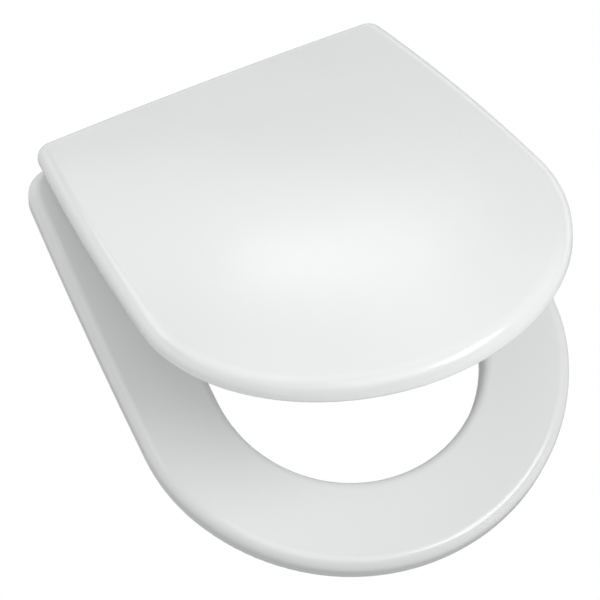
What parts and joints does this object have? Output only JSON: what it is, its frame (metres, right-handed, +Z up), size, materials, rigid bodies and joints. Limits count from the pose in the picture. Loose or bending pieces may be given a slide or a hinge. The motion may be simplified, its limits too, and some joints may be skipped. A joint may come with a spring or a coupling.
{
  "type": "toilet seat",
  "caption": "D-shaped toilet seat with a crowned lid over an open ring, both hinged at the rear on posts that bolt through the pan.",
  "frame": {"origin": "on the pan's top, midway between the two fixing bolts", "axes": "+Z up from the pan's top, the round front end to -Y, +X to the right as seen from the front"},
  "size_m": [0.36, 0.4394, 0.31],
  "materials": {
    "duroplast": "polished white moulded plastic",
    "buffer_rubber": "soft pale grey rubber",
    "seal_rubber": "matt black rubber",
    "bush_plastic": "natural nylon",
    "bracket_plastic": "pale grey nylon, lightly textured",
    "chrome": "bright plated die-casting",
    "steel": "plain stainless steel",
    "nut_plastic": "white nylon"
  },
  "bodies": {
    "base": {"hinge_post_left": "chrome", "hinge_post_right": "chrome", "hinge_pin_left": "steel", "hinge_pin_right": "steel", "foot_gasket_left": "seal_rubber", "foot_gasket_right": "seal_rubber", "fixing_bolt_left": "steel", "fixing_bolt_right": "steel", "pan_washer_left": "seal_rubber", "pan_washer_right": "seal_rubber", "bolt_washer_left": "steel", "bolt_washer_right": "steel", "wing_nut_left": "nut_plastic", "wing_nut_right": "nut_plastic"},
    "ring": {"seat_ring": "duroplast", "ring_buffers": "buffer_rubber", "hinge_bushes": "bush_plastic"},
    "lid": {"lid": "duroplast", "lid_buffers": "buffer_rubber", "lid_bracket_left": "bracket_plastic", "lid_bracket_right": "bracket_plastic", "bracket_screws": "steel"}
  },
  "joints": [
    {"name": "ring_hinge", "type": "hinge", "parent": "base", "child": "ring", "pos_m": [0, 0.036, 0.024], "axis": [-1, 0, 0], "range_deg": [0, 95]},
    {"name": "lid_hinge", "type": "hinge", "parent": "ring", "child": "lid", "pos_m": [0, 0.036, 0.024], "axis": [-1, 0, 0], "range_deg": [-28, 72]}
  ]
}
